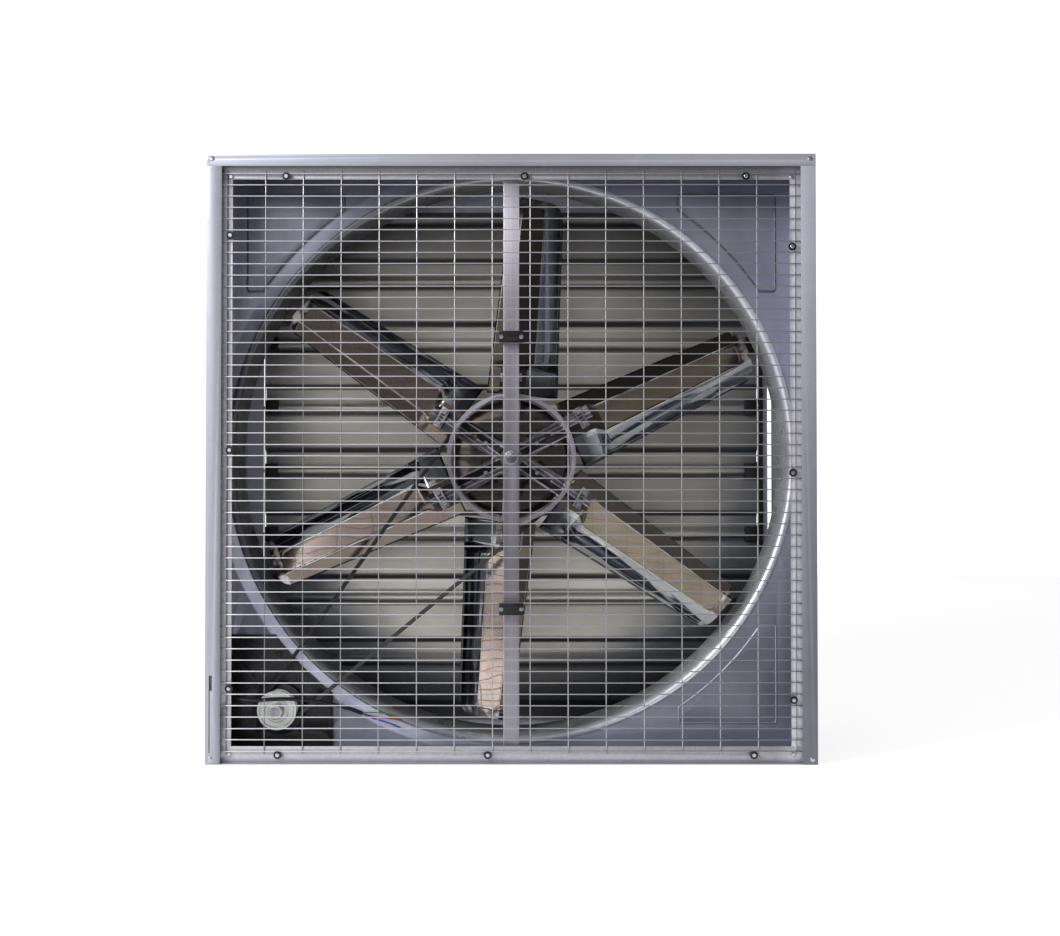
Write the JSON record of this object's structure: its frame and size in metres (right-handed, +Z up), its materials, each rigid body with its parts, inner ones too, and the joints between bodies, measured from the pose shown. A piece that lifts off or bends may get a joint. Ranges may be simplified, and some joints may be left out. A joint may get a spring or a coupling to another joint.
{
  "type": "exhaust fan",
  "caption": "Square belt-driven wall exhaust fan: galvanised box with wire guard, bell-mouth ring, curved-blade wheel on a centre bar, corner motor and rear gravity shutter slats.",
  "frame": {"origin": "middle of the box's underside", "axes": "+Z up, +X to the right seen from the guard, -Y out of the guard and +Y out of the shutter"},
  "size_m": [1.38, 0.404, 1.38],
  "materials": {
    "galvanised_sheet": "galvanised, dull spangle",
    "bright_ring_sheet": "galvanised, bright drawn",
    "stainless_blade": "bright annealed stainless",
    "slat_sheet": "galvanised, dull",
    "guard_wire": "zinc plated",
    "guard_angle": "galvanised, dull",
    "zinc_fastener": "zinc plated",
    "bar_steel": "galvanised, smooth",
    "axle_steel": "ground",
    "bearing_steel": "ground",
    "cast_aluminium": "as cast, machined rims",
    "belt_rubber": "fabric-backed rubber",
    "black_polymer": "moulded, satin",
    "motor_enamel": "black enamel",
    "stator_iron": "stacked sheet",
    "cable_sheath": "smooth sheath",
    "red_insulation": "smooth insulation",
    "blue_insulation": "smooth insulation",
    "earth_insulation": "striped insulation"
  },
  "bodies": {
    "housing": {"axle": "axle_steel", "axle_nut": "zinc_fastener", "axle_retainer": "zinc_fastener", "bar_brackets": "bar_steel", "bearing_inner_races": "bearing_steel", "cable_gland": "black_polymer", "centre_bar": "bar_steel", "corner_rivets": "zinc_fastener", "drive_belt": "belt_rubber", "frame_bottom": "galvanised_sheet", "frame_left": "galvanised_sheet", "frame_right": "galvanised_sheet", "frame_top": "galvanised_sheet", "guard_clip_plates": "black_polymer", "guard_clip_saddles": "black_polymer", "guard_mesh": "guard_wire", "guard_rails": "guard_angle", "guard_screws": "zinc_fastener", "lead_blue": "blue_insulation", "lead_earth": "earth_insulation", "lead_red": "red_insulation", "motor_bearings": "bearing_steel", "motor_bolts": "zinc_fastener", "motor_cable": "cable_sheath", "motor_casing": "motor_enamel", "motor_fan_cover": "motor_enamel", "motor_front_shield": "motor_enamel", "motor_lead": "cable_sheath", "motor_plate": "motor_enamel", "motor_rear_shield": "motor_enamel", "motor_stator": "stator_iron", "shutter_bushes": "black_polymer", "shutter_jamb_left": "galvanised_sheet", "shutter_jamb_right": "galvanised_sheet", "terminal_box": "black_polymer", "venturi_panel": "galvanised_sheet", "venturi_ring": "bright_ring_sheet"},
    "fan_wheel": {"fan_pulley": "cast_aluminium", "bearing_outer_races": "bearing_steel", "blade_clamps": "cast_aluminium", "blade_bolts": "zinc_fastener", "hub_plate": "stainless_blade", "fan_blade_1": "stainless_blade", "fan_blade_2": "stainless_blade", "fan_blade_3": "stainless_blade", "fan_blade_4": "stainless_blade", "fan_blade_5": "stainless_blade", "fan_blade_6": "stainless_blade"},
    "motor_rotor": {"motor_rotor_shaft": "axle_steel", "motor_pulley": "cast_aluminium", "motor_cooling_fan": "black_polymer"},
    "slat_1_body": {"slat_1": "slat_sheet"},
    "slat_2_body": {"slat_2": "slat_sheet"},
    "slat_3_body": {"slat_3": "slat_sheet"},
    "slat_4_body": {"slat_4": "slat_sheet"},
    "slat_5_body": {"slat_5": "slat_sheet"},
    "slat_6_body": {"slat_6": "slat_sheet"},
    "slat_7_body": {"slat_7": "slat_sheet"},
    "slat_8_body": {"slat_8": "slat_sheet"},
    "link": {"shutter_link": "black_polymer"}
  },
  "joints": [
    {"name": "fan_spin", "type": "hinge", "parent": "housing", "child": "fan_wheel", "pos_m": [0, -0.1, 0.69], "axis": [0, -1, 0], "continuous": true},
    {"name": "motor_spin", "type": "hinge", "parent": "housing", "child": "motor_rotor", "pos_m": [-0.545, 0, 0.1036], "axis": [0, -1, 0], "continuous": true},
    {"name": "slat_1_hinge", "type": "hinge", "parent": "housing", "child": "slat_1_body", "pos_m": [0, 0.185, 1.305], "axis": [1, 0, 0], "range_deg": [0, 80]},
    {"name": "slat_2_hinge", "type": "hinge", "parent": "housing", "child": "slat_2_body", "pos_m": [0, 0.185, 1.143], "axis": [1, 0, 0], "range_deg": [0, 80]},
    {"name": "slat_3_hinge", "type": "hinge", "parent": "housing", "child": "slat_3_body", "pos_m": [0, 0.185, 0.981], "axis": [1, 0, 0], "range_deg": [0, 80]},
    {"name": "slat_4_hinge", "type": "hinge", "parent": "housing", "child": "slat_4_body", "pos_m": [0, 0.185, 0.819], "axis": [1, 0, 0], "range_deg": [0, 80]},
    {"name": "slat_5_hinge", "type": "hinge", "parent": "housing", "child": "slat_5_body", "pos_m": [0, 0.185, 0.657], "axis": [1, 0, 0], "range_deg": [0, 80]},
    {"name": "slat_6_hinge", "type": "hinge", "parent": "housing", "child": "slat_6_body", "pos_m": [0, 0.185, 0.495], "axis": [1, 0, 0], "range_deg": [0, 80]},
    {"name": "slat_7_hinge", "type": "hinge", "parent": "housing", "child": "slat_7_body", "pos_m": [0, 0.185, 0.333], "axis": [1, 0, 0], "range_deg": [0, 80]},
    {"name": "slat_8_hinge", "type": "hinge", "parent": "housing", "child": "slat_8_body", "pos_m": [0, 0.185, 0.171], "axis": [1, 0, 0], "range_deg": [0, 80]},
    {"name": "link_hinge", "type": "hinge", "parent": "slat_1_body", "child": "link", "pos_m": [0.638, 0.16662, 1.32043], "axis": [1, 0, 0], "range_deg": [-80, 0]}
  ],
  "couplings": [
    {"joint": "motor_spin", "follows": "fan_spin", "ratio": 3.561},
    {"joint": "slat_2_hinge", "follows": "slat_1_hinge", "ratio": 1},
    {"joint": "slat_3_hinge", "follows": "slat_1_hinge", "ratio": 1},
    {"joint": "slat_4_hinge", "follows": "slat_1_hinge", "ratio": 1},
    {"joint": "slat_5_hinge", "follows": "slat_1_hinge", "ratio": 1},
    {"joint": "slat_6_hinge", "follows": "slat_1_hinge", "ratio": 1},
    {"joint": "slat_7_hinge", "follows": "slat_1_hinge", "ratio": 1},
    {"joint": "slat_8_hinge", "follows": "slat_1_hinge", "ratio": 1},
    {"joint": "link_hinge", "follows": "slat_1_hinge", "ratio": -1}
  ]
}
